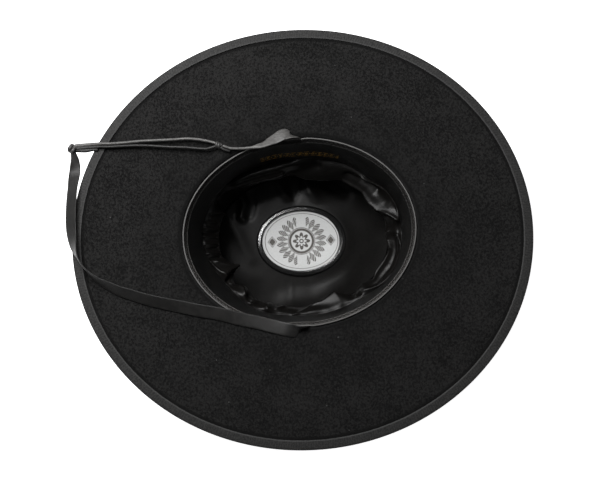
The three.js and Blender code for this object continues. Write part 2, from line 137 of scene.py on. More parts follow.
# Folds of the lining's side: places of (turn, share of the way in), rise, width and kind
LINING_FOLDS = [
    ([(140, 0.35), (131, 0.62), (121, 0.72), (106, 0.78), (98, 0.7)], 3.0, 1.8, "sharp"),
    ([(126, 0.2), (112, 0.3), (101, 0.3), (90, 0.1), (80, -0.1)], 4.2, 4.5, "soft"),
    ([(95, 0.9), (84, 0.7), (76, 0.4)], -2.0, 4.0, "soft"),
    ([(56, 1.02), (49, 1.0), (39, 1.02), (28, 0.98), (19, 0.85), (11, 0.5), (5, 0.1)],
     2.8, 1.2, "sharp"),
    ([(46, 0.3), (37, 0.12), (27, 0.0), (16, 0.0), (5, 0.05)], 2.2, 2.2, "sharp"),
    ([(56, 0.66), (45, 0.6), (34, 0.54)], -3.4, 3.4, "soft"),
    ([(46, 0.6), (36, 0.55), (24, 0.45)], -2.0, 4.6, "soft"),
    ([(12, 0.65), (6, 0.3)], 2.6, 6.0, "soft"),
    ([(358, 0.85), (350, 0.95), (343, 0.9)], 1.6, 1.0, "sharp"),
    ([(354, 0.3), (346, 0.0), (338, -0.1), (328, -0.05), (318, 0.05), (309, 0.3), (303, 0.6)],
     2.2, 2.4, "sharp"),
    ([(352, 0.65), (343, 0.5), (333, 0.45), (322, 0.5), (313, 0.55)], -1.7, 3.4, "soft"),
    ([(342, 0.95), (334, 0.97), (327, 1.0), (319, 0.98), (313, 0.96), (307, 0.97), (301, 1.0)],
     0.9, 0.9, "sharp"),
    ([(299, 1.1), (300, 0.6), (302, 0.4)], -4.0, 1.2, "sharp"),
    ([(262, 0.1), (268, 0.6), (273, 0.88), (280, 0.98), (290, 0.96)], 1.2, 1.0, "sharp"),
    ([(272, 0.35), (280, 0.2), (288, 0.1)], 1.0, 5.0, "soft"),
    ([(161, -0.4), (161, 0.4), (160, 0.85)], 1.6, 0.9, "sharp"),
    ([(166, -0.4), (166, 0.9)], 1.5, 0.9, "sharp"),
    ([(173, -0.4), (173, 0.8)], 1.8, 1.0, "sharp"),
    ([(180, -0.4), (179, 0.9)], 1.4, 0.9, "sharp"),
    ([(187, -0.4), (188, 0.9)], 1.7, 0.9, "sharp"),
    ([(170, 0.15), (169, 0.9)], -1.6, 1.0, "soft"),
    ([(184, 0.15), (183, 0.9)], -1.6, 1.0, "soft"),
    ([(192, 0.2), (192, 0.9)], -1.8, 1.4, "soft"),
    ([(155, 0.3), (151, 0.7), (150, 1.05)], 2.4, 1.6, "sharp"),
    ([(194, 0), (199, 0.1), (205, 0.15), (211, 0.3)], 2.0, 1.2, "sharp"),
    ([(196, 0.4), (203, 0.95), (208, 1.1)], 2.4, 1.3, "sharp"),
    ([(207, 0.95), (208, 0.45)], 2.6, 6.5, "soft"),
    ([(209, 1.05), (211, 0.6), (214, 0.3)], -5.5, 1.9, "soft"),
    ([(229, 0.85), (230, 0.4)], 1.8, 4.5, "soft"),
    ([(246, 0.8), (247, 0.4)], 1.8, 4.5, "soft"),
    ([(218, 0.5), (222, 0.8), (226, 0.7), (230, 0.5)], 2.4, 1.5, "sharp"),
    ([(232, 0.6), (236, 0.6)], -2.0, 1.6, "soft"),
    ([(236, 0.2), (237, 0.7), (240, 0.85), (245, 0.66), (247, 0.2)], 1.6, 1.0, "sharp"),
    ([(252, 0.5), (256, 0.9)], 1.4, 1.4, "soft"),
]

# Folds of the lining's flat tip: places of (x, y), rise, width and kind
TIP_FOLDS = [
    ([(-26, 62), (-19, 53), (-13, 42)], 2.0, 4.5, "soft"),
    ([(5, 62), (9, 50), (14, 36)], 2.0, 5.5, "soft"),
    ([(-4, 62), (-4, 50), (-6, 38)], -2.0, 4.0, "soft"),
    ([(-57, 46), (-53, 38), (-56, 24)], 2.8, 3.6, "soft"),
    ([(-47, 46), (-45, 36), (-48, 26)], -1.6, 3.5, "soft"),
    ([(-70, 30), (-64, 14), (-55, 0), (-46, -14)], 1.0, 6.0, "soft"),
    ([(-16, -57), (12, -55), (38, -43)], 1.5, 11.0, "soft"),
    ([(-10, -36), (-11, -60)], 0.15, 1.6, "soft"),
    ([(26, 54), (44, 44)], -1.2, 6.0, "soft"),
]

# The chin strap, and the shares of its width and thickness and the roll of a thin strand
STRAP_WIDTH = 11.5
STRAP_THICK = 1.3
HIDDEN_GAP = 0.72
STRAND = (0.21, 2.15, 0)

# Hidden stretches by turn and share down the band
# Runs over the brim by turn, share of the brim's width, clearance, width, thickness and roll
LOWER_HIDDEN = [(271.8, 0.62), (270.3, 0.46), (269, 0.31), (267.8, 0.17)]
LOWER_STRAP = [
    (266.7, 0.002, -3.5, 1, 1, -76), (265.6, 0.012, -2, 1, 1, -56), (264, 0.02, -0.8, 1, 1, -34),
    (261.6, 0.018, 0, 1, 1, -14), (255.4, 0.003, 0.3, 1, 1, 0), (244.2, -0.005, 0.3, 1, 1, -5),
    (236.2, 0.016, 0.3, 1, 1, -10), (226.2, 0.058, 0.3, 1, 1, -18), (217.6, 0.139, 0.3, 1, 1, -22),
    (210.1, 0.24, 0.3, 1, 1, -26), (204.1, 0.36, 0.3, 1, 1, -34), (200.2, 0.459, 0.3, 1, 1, -38),
    (196.7, 0.561, 0.3, 1, 1, -42), (194.7, 0.633, 0.3, 1, 1, -46), (192.5, 0.704, 0.3, 1, 1, -52),
    (190.4, 0.777, 0.4, 1, 1, -62), (188.4, 0.834, 0.7, 1, 1, -72), (186, 0.892, 1.25, 1, 1, -82),
    (183.7, 0.934, 1.25, 1, 1, -80), (181.4, 0.963, 1.25, 1, 1, -62),
    (178.9, 0.981, 1.25, 1, 1, -42), (176, 0.999, 1.25, 1, 1, -32), (172.6, 1.014, 1.25, 1, 1, -30),
    (168.7, 1.034, 1.25, 1, 1, -32), (165.4, 1.053, 1.25, 1, 1, -32),
    (162.5, 1.078, 1.25, 0.87, 1.1, -8), (160.6, 1.1, 1.4, 0.74, 1.3, 20),
    (159.4, 1.124, 1.55, 0.6, 1.5, 26), (158.6, 1.15, 1.6, 0.45, 1.8, 15),
    (157.8, 1.172, 1.7, 0.32, 2.1, 0),
]
LOWER_STRAND = [
    (157.8, 1.175, 1.85, 0.3, 2.1, 0), (157.1, 1.142, 1.85, 0.3, 2.1, 0),
    (156.5, 1.102, 1.85, 0.3, 2.1, 0), (155.75, 1.053, 1.85, 0.28, 2.1, 0),
    (154.9, 0.998, 1.9, 0.24, 2.1, 0), (154.1, 0.959, 2, 0.22, 2.15, 0),
    (152.6, 0.877, 2.15, *STRAND),
] + [
    (turn, share, 2.3, *STRAND)
    for turn, share in (
        (149.9, 0.761), (146.9, 0.648), (143.8, 0.534), (140.3, 0.422), (136.1, 0.319),
        (132.5, 0.238), (129.5, 0.183), (127.4, 0.163), (125.1, 0.148),
    )
]
UPPER_HIDDEN = [(83.5, 0.62), (85, 0.46), (86.2, 0.31), (87.3, 0.17)]
UPPER_STRAP = [
    (88.4, 0.002, -3.5, 1, 1, 75), (89.8, 0.011, -1, 1, 1, 58), (91.4, 0.02, 0.2, 1, 1, 38),
    (93.6, 0.026, 0.8, 1, 1, 26), (97.1, 0.002, 1.2, 0.87, 1, 24),
    (100.3, -0.012, 1.6, 0.7, 1.15, 28), (103.1, -0.026, 1.8, 0.52, 1.5, 30),
    (106.2, -0.025, 1.8, 0.4, 1.8, 25), (109.3, -0.016, 1.6, 0.26, 2.1, 10),
    (112.7, 0.001, 1.5, *STRAND), (116.4, 0.029, 1.6, *STRAND), (119.8, 0.066, 1.8, *STRAND),
    (121.9, 0.108, 2.15, *STRAND),
] + [
    (turn, share, 2.3, *STRAND)
    for turn, share in (
        (123.5, 0.146), (125.9, 0.205), (127.5, 0.24), (130, 0.296), (133.3, 0.365),
        (137.9, 0.455), (142.4, 0.567), (145.9, 0.672), (149.1, 0.777),
    )
] + [
    (151.9, 0.891, 2.15, *STRAND), (153.45, 0.973, 2, 0.23, 2.15, 0),
    (154.9, 1.052, 1.85, 0.28, 2.15, 0), (156.35, 1.147, 1.85, 0.3, 2.15, 0),
    (157, 1.185, 1.85, 0.3, 2.15, 0),
]
INNER_END = [
    (124, 0.133, 1.7, *STRAND), (122.6, 0.085, 1.6, 0.2, 2, 0), (120.5, 0.042, 1.25, 0.18, 1.6, 0),
]
OUTER_END = [
    (157.8, 1.174, 1.5, 0.28, 2, 0), (157.3, 1.118, 1.5, 0.3, 2, 0),
    (156.6, 1.056, 1.5, 0.3, 1.9, 0), (155.7, 1.01, 1.55, 0.28, 1.6, 0),
    (154.95, 0.965, 1.2, 0.2, 1.3, 0),
]

# Wraps of the sliding knots: centre, the way they wind along, radius, length, turns and thong
KNOTS = {
    "outer_sliding_knot": ((-194.6, 79.0, 99.0), (0.72, -0.69, 0.1), 2.8, 5.6, 1.6, 1.75),
    "inner_sliding_knot": ((-66.6, 76.6, 107.6), (0.92, -0.38, 0.1), 1.9, 4.6, 2.2, 1.35),
}
KNOT_SIDES = 12
KNOT_STEPS = 28

# Gold ornament stamped into the sweatband: its turns, and its height as a share down the band
STAMP_TURNS = (64.5, 108)
STAMP_SHARE = 0.72
STAMP_HALF = 3.2
STAMP_PITCH = 5.6

# Camera and lights
CAMERA_PLACE = (17.806, -87.201, 1100.057)
CAMERA_TILT = 85.4
CAMERA_SIDE = 1.0
CAMERA_ROLL = 1.9
SENSOR = 36.0
FOCAL = 70.08
BACKDROP_STRENGTH = 0.07
FLOOR_RADIUS = 20

# Lights: name, place, target, size in metres and power
LIGHTS = [
    ("key", (-0.25, 0.35, 0.7), (0.02, 0, 0.05), 0.44, 8.3),
    ("top", (-0.1, 0.1, 1.5), (0, 0, 0.05), 1.1, 0.6),
    ("back", (0.7, -0.6, 0.95), (0, 0, 0.05), 0.6, 1.0),
    ("side", (-0.44, 0.2, 0.955), (0, 0, 0.05), 0.13, 1.8),
]


# The hat's own measures

def oval_point(length, width, turn):
    return Vector((length / 2 * math.cos(turn), width / 2 * math.sin(turn), 0))


def oval_normal(length, width, turn):
    return Vector((width * math.cos(turn), length * math.sin(turn), 0)).normalized()


def brim_width(turn):
    """Width of the brim, a little more at the hat's sides than at its ends."""
    return BRIM_AT_ENDS + (BRIM_AT_SIDES - BRIM_AT_ENDS) * math.sin(turn) ** 2


def brim_share(turn, offset):
    return max(offset, 0) / brim_width(turn)


def hat_point(turn, offset, height):
    """A point of the hat. Offsets further in than the tip's edge run on to its centre."""
    share = brim_share(turn, offset)
    beyond = max(-TIP_INSET - offset, 0)
    flat = oval_point(OPENING_LENGTH, OPENING_WIDTH, turn)
    flat += oval_normal(OPENING_LENGTH, OPENING_WIDTH, turn) * max(offset, -TIP_INSET)
    flat *= 1 - beyond / (OPENING_WIDTH / 2 - TIP_INSET)
    skew = Matrix.Rotation(math.radians(OPENING_SKEW) * (1 - min(share, 1)), 3, "Z")
    return skew @ flat + Vector((BRIM_SHIFT[0] * share, BRIM_SHIFT[1] * share, height))


def label_point(turn, offset, height):
    """A point over the label's oval. Offsets run in from its edge to the centre."""
    point = oval_point(LABEL_LENGTH, LABEL_WIDTH, turn) * (1 + min(offset, 0) / (LABEL_WIDTH / 2))
    point += oval_normal(LABEL_LENGTH, LABEL_WIDTH, turn) * max(offset, 0)
    point.z = height
    return point


def brim_top(turn, offset):
    """Height of the felt's upper face, which dips and waves toward the edge."""
    share = brim_share(turn, offset)
    return CROWN_HEIGHT - BRIM_DISH * share ** 1.5 + BRIM_WAVE * math.cos(2 * turn) * share ** 2


def clamp(value, low=0, high=1):
    return min(max(value, low), high)


def ease(share):
    """A share from 0 to 1 that starts and ends gently."""
    return share * share * (3 - 2 * share)


def at_turn(rows, turn):
    """Value between the rows of a table of (turn in degrees, value) that closes on itself."""
    turns, values = zip(*rows)
    return float(np.interp(math.degrees(turn) % 360, turns, values, period=360))


def slot_room(turn):
    """How far the sweatband stands off the felt to let the straps out, in millimetres."""
    room = 0
    for slot in (LOWER_SLOT, UPPER_SLOT):
        away = abs((math.degrees(turn) - slot + 180) % 360 - 180)
        room = max(room, 1 - ease(clamp((away - SLOT_HALF_TURN) / SLOT_FADE)))
    return room * SLOT_ROOM


def wander(turn, size, seed, height=0.0):
    """Smooth noise from -1 to 1 that closes on itself round the hat."""
    return noise.noise(Vector((math.cos(turn) * size, math.sin(turn) * size, height + seed)))


def arc(centre, radius, start, end, pieces):
    """Points of a section on an arc, between two angles in degrees."""
    angles = [math.radians(start + (end - start) * piece / pieces) for piece in range(pieces + 1)]
    return [(centre[0] + radius * math.cos(a), centre[1] + radius * math.sin(a)) for a in angles]


def steps_between(low, high, count):
    """Even steps from one value to another."""
    return [low + (high - low) * step / count for step in range(count + 1)]


def smooth_line(points, count):
    """A smooth curve through points, count steps to each stretch."""
    made = []
    last = len(points) - 1
    for place in range(last):
        near = [points[clamp(place + away, 0, last)] for away in (-1, 0, 1, 2)]
        for step in range(count):
            t = step / count
            weights = (
                -t + 2 * t * t - t ** 3,
                2 - 5 * t * t + 3 * t ** 3,
                t + 4 * t * t - 3 * t ** 3,
                t ** 3 - t * t,
            )
            made.append(tuple(
                sum(weight * point[axis] for weight, point in zip(weights, near)) / 2
                for axis in range(len(near[0]))
            ))
    return made + [points[-1]]


# Meshes

def finish_piece(name, bm, material, replaces=(), smooth=True):
    """Turns a finished mesh into a piece that rides on the hat."""
    mesh = bpy.data.meshes.new(name)
    bm.to_mesh(mesh)
    bm.free()
    for polygon in mesh.polygons:
        polygon.use_smooth = smooth
    piece = bpy.data.objects.new(name, mesh)
    bpy.context.scene.collection.objects.link(piece)
    piece.data.materials.append(material)
    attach(piece, "root")
    if replaces:
        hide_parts(*replaces)
    return piece


def round_mesh(section, steps, place=hat_point):
    """Sheet or tube round the hat, through sections of points from the outside in over the top."""
    turns = steps_between(0, math.tau, steps)
    columns = [section(turn) for turn in turns[:-1]]
    columns.append(columns[0])
    rows = len(columns[0])
    bm = bmesh.new()
    bmesh.ops.create_grid(bm, x_segments=steps, y_segments=rows - 1, size=0.5)
    uv = bm.loops.layers.uv.new("UVMap")
    for face in bm.faces:
        for loop in face.loops:
            loop[uv].uv = loop.vert.co.x + 0.5, loop.vert.co.y + 0.5
    for vert in bm.verts:
        step = round((vert.co.x + 0.5) * steps)
        row = round((vert.co.y + 0.5) * (rows - 1))
        vert.co = place(turns[step], *columns[step][row]) * MM
    bmesh.ops.remove_doubles(bm, verts=bm.verts, dist=MERGE)
    return bm


def thicken(piece, thick):
    """Gives a sheet its thickness on the side away from its faces."""
    wall = piece.modifiers.new("wall", "SOLIDIFY")
    wall.thickness = thick * MM
    wall.offset = -1


def fold_heights(folds, spots, size=(1, 1), period=None):
    """Height of a cloth's folds at an array of spots, each fold a ridge or valley along its line."""
    total = np.zeros(len(spots))
    for line, depth, width, kind in folds:
        middle = line[len(line) // 2]
        here = spots - np.array(middle)
        ends = np.array(line) - np.array(middle)
        if period:
            here[:, 0] = (here[:, 0] + period / 2) % period - period / 2
            ends[:, 0] = (ends[:, 0] + period / 2) % period - period / 2
        here *= size
        ends = ends * size
        gap = np.full(len(spots), 1e9)
        for start, end in zip(ends, ends[1:]):
            run = end - start
            share = np.clip((here - start) @ run / (run @ run), 0, 1)
            gap = np.minimum(gap, np.linalg.norm(here - start - share[:, None] * run, axis=1))
        near = gap / width
        total += depth * (np.exp(-near) if kind == "sharp" else np.exp(-near * near))
    return total


# Materials

class Socket:
    """A shader socket that adds Math nodes where it is used in a sum."""

    def __init__(self, paint, link):
        self.paint = paint
        self.link = link

    def math(self, operation, *others):
        return self.paint.math(operation, self, *others)

    def __add__(self, other):
        return self.math("ADD", other)

    def __sub__(self, other):
        return self.math("SUBTRACT", other)

    def __rsub__(self, other):
        return self.paint.math("SUBTRACT", other, self)

    def __mul__(self, other):
        return self.math("MULTIPLY", other)

    def __truediv__(self, other):
        return self.math("DIVIDE", other)

    def __lt__(self, other):
        return self.math("LESS_THAN", other)

    def __gt__(self, other):
        return self.math("GREATER_THAN", other)

    __radd__ = __add__
    __rmul__ = __mul__

    def absolute(self):
        return self.math("ABSOLUTE")

    def between(self, low, high):
        """A mask that is 1 between two values."""
        return (self > low) * (self < high)

    def near(self, centre, half):
        """A mask that is 1 within half of a centre."""
        return (self - centre).absolute() < half

    def joined(self, *masks):
        """This mask and others as one."""
        whole = self
        for mask in masks:
            whole = whole.math("MAXIMUM", mask)
        return whole


class Paint:
    """A material that is built up from nodes."""

    def __init__(self, name, **constants):
        self.material = bpy.data.materials.new(name)
        self.material.use_nodes = True
        self.tree = self.material.node_tree
        self.shader = self.tree.nodes["Principled BSDF"]
        self.set(**constants)

    def set(self, **values):
        """Sets or links the shader's sockets, named with underscores for blanks."""
        for name, value in values.items():
            self.feed(self.shader.inputs[name.replace("_", " ")], value)

    def feed(self, socket, value):
        if isinstance(value, Socket):
            self.tree.links.new(value.link, socket)
        else:
            socket.default_value = value

    def node(self, kind, settings=None, inputs=None, output=0):
        """Adds a node: its settings first, then what its sockets hold."""
        node = self.tree.nodes.new(kind)
        for name, value in (settings or {}).items():
            setattr(node, name, value)
        for name, value in (inputs or {}).items():
            self.feed(node.inputs[name], value)
        return Socket(self, node.outputs[output])

    def math(self, operation, *values):
        return self.node("ShaderNodeMath", {"operation": operation}, dict(enumerate(values)))

    def place(self):
        return self.node("ShaderNodeTexCoord", output="Object")

    def axes(self, vector):
        """The three numbers of a vector."""
        parts = self.node("ShaderNodeSeparateXYZ", inputs={"Vector": vector})
        return [Socket(self, out) for out in parts.link.node.outputs]

    def surface(self):
        """The round and across shares of a piece's own map."""
        return self.axes(self.node("ShaderNodeUVMap", {"uv_map": "UVMap"}))[:2]

    def noise(self, size, detail=2.0, vector=None, rough=0.5):
        """Noise with features of a size in millimetres."""
        inputs = {"Vector": vector or self.place(), "Scale": 1 / (size * MM)}
        inputs.update({"Detail": detail, "Roughness": rough})
        return self.node("ShaderNodeTexNoise", {}, inputs, "Fac")

    def cells(self, size, feature="F1"):
        """Distance in a pattern of cells of a size in millimetres."""
        inputs = {"Vector": self.place(), "Scale": 1 / (size * MM)}
        return self.node("ShaderNodeTexVoronoi", {"feature": feature}, inputs, "Distance")

    def stretch(self, x, y, z):
        """Object places pulled along the axes, for fibres and brushed marks."""
        return self.node("ShaderNodeMapping", {}, {"Vector": self.place(), "Scale": (x, y, z)})

    def step(self, value, low, high):
        """Value turned into 0 below low, 1 above high, and eased between."""
        settings = {"interpolation_type": "SMOOTHSTEP"}
        inputs = {"Value": value, "From Min": low, "From Max": high}
        return self.node("ShaderNodeMapRange", settings, inputs)

    def stripe(self, value, rise, fall):
        """A soft mask that rises and falls over two pairs of values."""
        return self.step(value, *rise) - self.step(value, *fall)

    def waves(self, around, count):
        """A wave from -1 to 1 that runs a count of times round the hat."""
        return (around * (count * math.tau)).math("SINE")

    def mix(self, factor, first, second):
        settings = {"data_type": "RGBA"}
        return self.node("ShaderNodeMix", settings, {0: factor, 6: first, 7: second}, 2)

    def bump(self, height, distance, strength=1.0):
        inputs = {"Height": height, "Distance": distance * MM, "Strength": strength}
        self.set(Normal=self.node("ShaderNodeBump", {}, inputs))


def grey(level, warm=0.0):
    """A colour near black or grey, warmer by a share."""
    return (level * (1 + warm), level, level * (1 - warm), 1)


def felt_material():
    """Felt with its nap and lint, with painted shadow lines beside the ribbon and at the crown's bend,
    and painted shade toward the crown.
    """
    paint = Paint("felt", Specular_IOR_Level=0.12, Roughness=0.95)
    paint.set(Sheen_Weight=0.05, Sheen_Roughness=0.6)
    nap = paint.noise(2.0, 4.0, rough=0.85)
    cloud = paint.noise(22, 2.0)
    fibre = paint.noise(1.2, 2.0, paint.stretch(1, 0.5, 1))
    shade = paint.step(nap * 0.66 + cloud * 0.12 + fibre * 0.22, 0.425, 0.575)
    lint = paint.step(paint.cells(17) * -1, -0.034, -0.026)
    colour = paint.mix(shade, grey(0.0005), grey(0.0128, 0.02))
    across = paint.surface()[1]
    # painted shade: the felt darkened from the middle of the brim in toward the crown, easing off again
    # at the crown's top
    painted_inward_shade = paint.step(across, 0.18, 0.5) * (1 - paint.step(across, 0.9, 0.95))
    colour = paint.mix(painted_inward_shade * 0.3, colour, grey(0.001))
    # painted shadow lines: beside the ribbon's lip, and at the crown's bend beside the sweatband's roll
    painted_shadow_lines = paint.stripe(across, (0.036, 0.041), (0.048, 0.058))
    painted_shadow_lines += paint.stripe(across, (0.5, 0.53), (0.64, 0.7))
    colour = paint.mix(painted_shadow_lines * 0.8, colour, grey(0.0002))
    paint.set(Base_Color=paint.mix(lint * 0.7, colour, grey(0.09)))
    paint.bump(nap + fibre * 0.6, 0.9, 0.9)
    return paint.material


def ribbon_material():
    """Ribbed ribbon with its upper lip at the selvedge painted paler as a highlight."""
    paint = Paint("ribbon", Specular_IOR_Level=0.2, Roughness=0.7)
    around, across = paint.surface()
    ribs = paint.waves(around, RIBBON_RIBS)
    thread = paint.noise(1.3, 3.0, rough=0.7)
    # painted highlight: the ribbon's inner upper lip, along its selvedge, painted paler
    edge = paint.stripe(across, (0.925, 0.95), (0.98, 1))
    shade = paint.step(thread + ribs * 0.04, 0.36, 0.66)
    colour = paint.mix(shade, grey(0.012), grey(0.031, 0.02))
    paint.set(Base_Color=paint.mix(edge * 0.45, colour, grey(0.055)))
    paint.bump(ribs * 0.3 + thread * 0.5, 0.13, 0.7)
    return paint.material


def grained(paint, size, depth):
    """Leather grain: rounded cells with creases between them, and fine pores."""
    creases = paint.cells(size, "DISTANCE_TO_EDGE")
    pores = paint.noise(size * 0.35, 2.0)
    paint.bump(paint.step(creases, 0, 0.25) + pores * 0.5, depth, 0.6)
    return pores


def sweatband_material():
    """Dark leather with a woven tape below its roll, a stamped row of gold, and the roll's crest
    painted pale as a highlight.
    """
    paint = Paint("sweatband_leather", Specular_IOR_Level=0.12)
    pores = grained(paint, 1.3, 0.10)
    worn = paint.noise(16, 3.0)
    around, across = paint.surface()
    leather = paint.mix(paint.step(worn, 0.35, 0.7), grey(0.0024), grey(0.0056, 0.06))
    mask = stamp_mask(paint, around, across)
    rows = across * BAND_ROWS
    tape = rows.between(ROLL_PIECES + 0.6, ROLL_PIECES + 5.5)
    weave = paint.waves(around, TAPE_WEAVE) * 0.3 + paint.noise(0.8, 2.0)
    tape_colour = paint.mix(paint.step(weave, 0.2, 0.8), grey(0.004), grey(0.013, 0.08))
    leather = paint.mix(tape, leather, tape_colour)
    # painted highlight: the crest of the roll painted pale
    leather = paint.mix(rows.between(4.4, 7.6), leather, grey(0.1, 0.02))
    paint.set(Base_Color=paint.mix(mask, leather, (0.6, 0.34, 0.05, 1)))
    paint.set(Metallic=mask * 0.5, Roughness=0.42 + worn * 0.14 + pores * 0.05)
    return paint.material


def stamp_mask(paint, around, across):
    """Diamonds between two broken lines, stamped along part of the band."""
    start, end = (turn / 360 for turn in STAMP_TURNS)
    around_length = math.pi * (OPENING_LENGTH + OPENING_WIDTH) / 2
    cell = (around * (around_length / STAMP_PITCH)).math("FRACT") - 0.5
    level = CROWN_HEIGHT - 2 * ROLL_RADIUS - STAMP_SHARE * BAND_HEIGHT
    down = paint.axes(paint.place())[2] * (1 / MM) - level
    x = cell.absolute() * STAMP_PITCH
    y = down.absolute()
    diamond = (x * 1.3 + y).between(1.1, 1.9)
    aside = x - STAMP_PITCH / 2
    dot = (aside * aside + y * y) < 0.35
    line = y.near(STAMP_HALF, 0.3) * (x < STAMP_PITCH * 0.38)
    stretch = around.between(start, end) * across.between(0.38, 0.7)
    wear = paint.step(paint.noise(2.2, 2.0), 0.34, 0.52)
    return diamond.joined(dot, line) * stretch * wear


def satin_material():
    """Black satin with fine threads and a soft, uneven gloss."""
    paint = Paint("satin", Specular_IOR_Level=0.12)
    thread = paint.noise(0.5, 2.0, paint.stretch(0.25, 1, 1))
    soft = paint.noise(9, 2.0)
    paint.set(Base_Color=paint.mix(paint.step(thread, 0.3, 0.7), grey(0.0024), grey(0.005, 0.12)))
    paint.set(Roughness=0.25 + thread * 0.08 + soft * 0.06)
    paint.bump(thread + soft * 0.4, 0.06, 0.5)
    return paint.material


def strap_material(name, shine, light, painted_lit_tab):
    """Strap leather with its edges painted paler as a highlight. With a painted lit tab, the wide tab
    is painted paler as lit until it narrows at a slit, which is painted dark as the shade seen through
    it.
    """
    paint = Paint(name, Specular_IOR_Level=shine)
    pores = grained(paint, 0.9, 0.07)
    worn = paint.noise(7, 3.0)
    along, across = paint.surface()
    # painted highlight: the strap's edges painted paler
    edge = paint.step(across, 0.9, 0.985)
    colour = paint.mix(paint.step(worn, 0.3, 0.7), grey(light * 0.56, 0.03), grey(light, 0.04))
    colour = paint.mix(edge, colour, grey(0.055, 0.04))
    if painted_lit_tab:
        # painted light: the wide tab painted paler as lit, with a fibre texture
        fibre = paint.noise(0.8, 3.0, paint.stretch(0.25, 1, 1))
        painted_lit_leather = paint.mix(paint.step(fibre, 0.3, 0.7), grey(0.035, 0.03), grey(0.075, 0.04))
        colour = paint.mix(paint.step(along, 0.34, 0.42), painted_lit_leather, colour)
        # painted shade: the slit painted dark as the shade seen through it
        slit = paint.stripe(along, (0.365, 0.38), (0.42, 0.435))
        slit = slit * (1 - paint.step(across, 0.3, 0.65))
        colour = paint.mix(slit, colour, grey(0.001))
    paint.set(Base_Color=colour)
    paint.set(Roughness=0.38 + worn * 0.1 + pores * 0.06)
    return paint.material


def thread_material():
    """Twisted thread, painted darker as shade along one side of the opening."""
    paint = Paint("thread", Specular_IOR_Level=0.4, Roughness=0.55)
    twist = paint.noise(0.3, 2.0)
    fresh = paint.mix(twist, grey(0.08), grey(0.18, 0.06))
    # painted shade: the threads darkened on the opening's +y side, which lies in shade
    painted_thread_shade = paint.step(paint.axes(paint.place())[1], -0.06, 0.03)
    paint.set(Base_Color=paint.mix(painted_thread_shade * 0.88, fresh, grey(0.006)))
    paint.bump(twist, 0.1, 0.6)
    return paint.material


def label_material():
    """Silver paper with a rosette in a ring, leaf sprays round it and a lozenge at each end."""
    paint = Paint("label", Specular_IOR_Level=0.5, Metallic=0.25)
    x, y = (axis * (1 / MM) for axis in paint.axes(paint.place())[:2])
    long = x / (LABEL_LENGTH / 2)
    wide = y / (LABEL_WIDTH / 2)
    rim = (long * long + wide * wide).math("SQRT")
    far = (x * x + y * y).math("SQRT")
    angle = y.math("ARCTAN2", x)
    border = rim.near(0.92, 0.008)
    petals = (angle * 4).math("COSINE").absolute()
    rosette = far.between(petals * 2.2 + 2.6, petals * 4 + 4.2)
    heart = far.near(1.6, 0.5)
    ring = far.near(10.8, 1.1).joined(far.near(12.6, 0.3))
    leaves = far.near(18.2, (angle * 11).math("SINE").absolute() * 5.2) * (x.absolute() > 4.5)
    veins = (angle * 66 + far * 2.4).math("SINE") > -0.6
    lozenge = (x.absolute() - 27.5).absolute() * 1.2 + y.absolute()
    lozenges = (lozenge < 3.8).joined(lozenge.near(5, 0.4))
    ink = border.joined(heart, rosette, ring, leaves * veins, lozenges)
    worn = paint.step(paint.noise(0.8, 3.0), 0.3, 0.5)
    fine = paint.noise(1.4, 3.0)
    paper = paint.mix(fine, (0.41, 0.415, 0.415, 1), (0.55, 0.555, 0.55, 1))
    paint.set(Base_Color=paint.mix(ink * (0.78 + worn * 0.22), paper, (0.045, 0.038, 0.032, 1)))
    paint.set(Roughness=0.42 + fine * 0.12)
    paint.bump(fine, 0.05, 0.4)
    return paint.material


def cover_material():
    """Clear film that shows most at its crimped rim."""
    paint = Paint("clear_cover", Specular_IOR_Level=0.9, Roughness=0.17, Base_Color=grey(0.008))
    around, across = paint.surface()
    crimp = paint.waves(around, COVER_CRIMPS)
    rim = 1 - paint.step(across, 0.8, 0.87)
    fresnel = paint.node("ShaderNodeFresnel", {}, {"IOR": 1.5})
    paint.set(Alpha=0.02 + (fresnel * 0.5 + 0.34 + crimp * 0.12) * rim)
    paint.bump(crimp * rim, 0.02, 0.6)
    return paint.material


def floor_material():
    paint = Paint("floor", Roughness=0.9, Specular_IOR_Level=0.1, Base_Color=grey(0.94))
    paint.set(Emission_Color=grey(1), Emission_Strength=0.95)
    return paint.material


# The pieces

def felt_section(turn):
    """The felt's inner face from the bound edge to the crown's centre."""
    edge = brim_width(turn) - EDGE_TUCK
    lift = CROWN_HEIGHT - BREAK_RADIUS
    brim = [(offset, brim_top(turn, offset)) for offset in steps_between(edge, BREAK_RADIUS, 34)]
    brim = [
        (offset, z + BRIM_RIPPLE * wander(turn, 3, 4, offset / 60) * brim_share(turn, offset))
        for offset, z in brim
    ]
    bend = arc((BREAK_RADIUS, lift), BREAK_RADIUS, 90, 180, 7)
    heights = steps_between(lift, CROWN_CORNER, 12)[1:-1]
    wall = [(-CROWN_TAPER * (lift - z) / (lift - CROWN_CORNER), z) for z in heights]
    corner = arc((-TIP_INSET, CROWN_CORNER), CROWN_CORNER - FELT_THICK, 0, -90, 7)
    floor = [(offset, FELT_THICK) for offset in steps_between(-TIP_INSET, -OPENING_WIDTH / 2, 6)]
    return brim[:-1] + bend + wall + corner + floor[1:]


